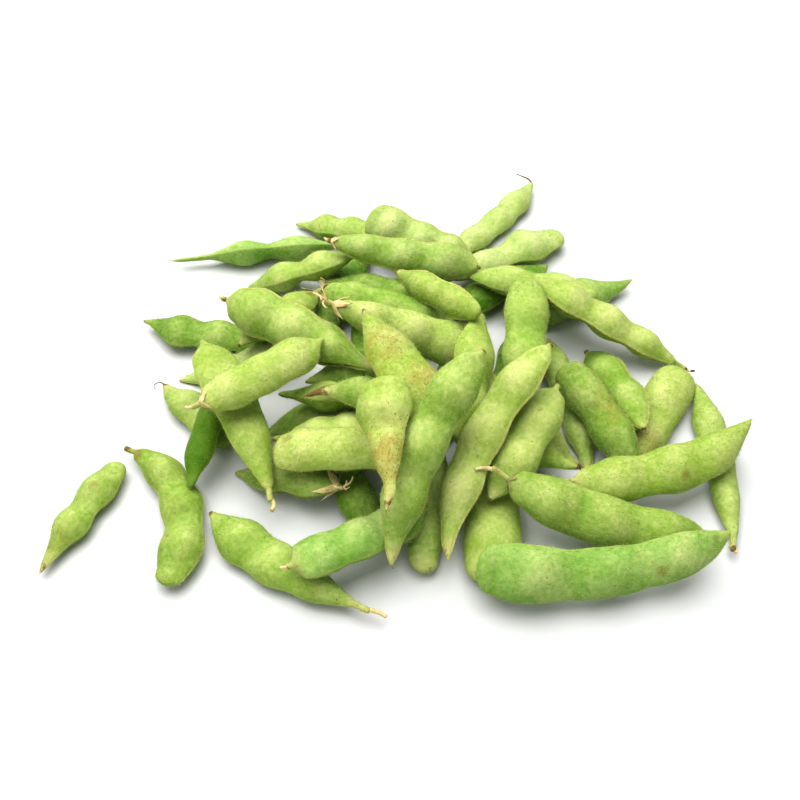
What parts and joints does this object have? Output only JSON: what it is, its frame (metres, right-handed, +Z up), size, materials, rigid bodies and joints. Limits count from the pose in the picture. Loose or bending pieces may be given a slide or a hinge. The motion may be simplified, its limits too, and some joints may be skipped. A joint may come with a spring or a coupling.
{
  "type": "edamame pod bundle",
  "caption": "Loose heap of fresh green soybean pods with two and three beans each, lying over one another on a flat surface.",
  "frame": {"origin": "on the ground under the middle of the heap's box", "axes": "+Z up; +X to the right along the heap's longer side; -Y towards the front, where the two crossed long pods lie at the right and two pods lie apart at the left"},
  "size_m": [0.2184, 0.1998, 0.0499],
  "materials": {
    "skin_mid_green": "soft matt, with a short pale down",
    "skin_yellow_green": "soft matt, with a short pale down",
    "skin_cool_green": "soft matt, with a short pale down",
    "skin_pale_green": "soft matt, with a short pale down",
    "skin_deep_green": "soft matt, with a short pale down"
  },
  "bodies": {
    "root": {"pod_under_back_left": "skin_deep_green", "pod_under_back": "skin_deep_green", "pod_under_back_right": "skin_deep_green", "pod_under_middle_back": "skin_deep_green", "pod_under_middle_right": "skin_deep_green", "pod_under_middle": "skin_deep_green", "pod_under_left": "skin_deep_green", "pod_left_outer_thin": "skin_mid_green", "pod_left_outer_bent": "skin_mid_green", "pod_left_far": "skin_deep_green", "pod_left_small": "skin_mid_green", "pod_left_shade": "skin_deep_green", "pod_middle_round": "skin_deep_green", "pod_middle_shade": "skin_deep_green", "pod_front_left_shade": "skin_deep_green", "pod_front_left_long": "skin_mid_green", "pod_front_stub": "skin_mid_green", "pod_front_wide": "skin_yellow_green", "pod_right_low": "skin_mid_green", "pod_right_round": "skin_yellow_green", "pod_right_narrow": "skin_mid_green", "pod_right_fuzzy": "skin_deep_green", "pod_right_ridge": "skin_mid_green", "pod_middle_tip": "skin_yellow_green", "pod_middle_low": "skin_yellow_green", "pod_back_right_flat": "skin_cool_green", "pod_back_right_round": "skin_pale_green", "pod_back_right_up": "skin_pale_green", "pod_back_left_small": "skin_mid_green", "pod_back_left_long": "skin_cool_green", "pod_back_shade": "skin_deep_green", "pod_left_pale": "skin_pale_green", "pod_left_hang": "skin_yellow_green", "pod_middle_back": "skin_deep_green", "pod_middle_pale": "skin_mid_green", "pod_left_behind": "skin_yellow_green", "pod_back_left_middle": "skin_mid_green", "pod_left_clump": "skin_yellow_green", "pod_back_middle": "skin_mid_green", "pod_back_middle_low": "skin_yellow_green", "pod_middle_wide": "skin_yellow_green", "pod_front_left_pale": "skin_cool_green", "pod_middle_behind": "skin_yellow_green", "pod_back_right_middle": "skin_mid_green", "pod_back_right_long": "skin_yellow_green", "pod_left_split": "skin_mid_green", "pod_left_cross": "skin_yellow_green", "pod_middle_twist": "skin_deep_green", "pod_left_blunt": "skin_yellow_green", "pod_right_long": "skin_yellow_green", "pod_back_edge": "skin_yellow_green", "pod_back_right_upright": "skin_mid_green", "pod_crest_long": "skin_yellow_green", "pod_front_right_long": "skin_mid_green", "pod_front_big": "skin_cool_green", "pod_crest_triangle": "skin_yellow_green", "pod_crest_left": "skin_mid_green", "pod_crest_front": "skin_yellow_green", "pod_crown_back": "skin_pale_green", "pod_crown_long": "skin_pale_green"}
  },
  "joints": []
}
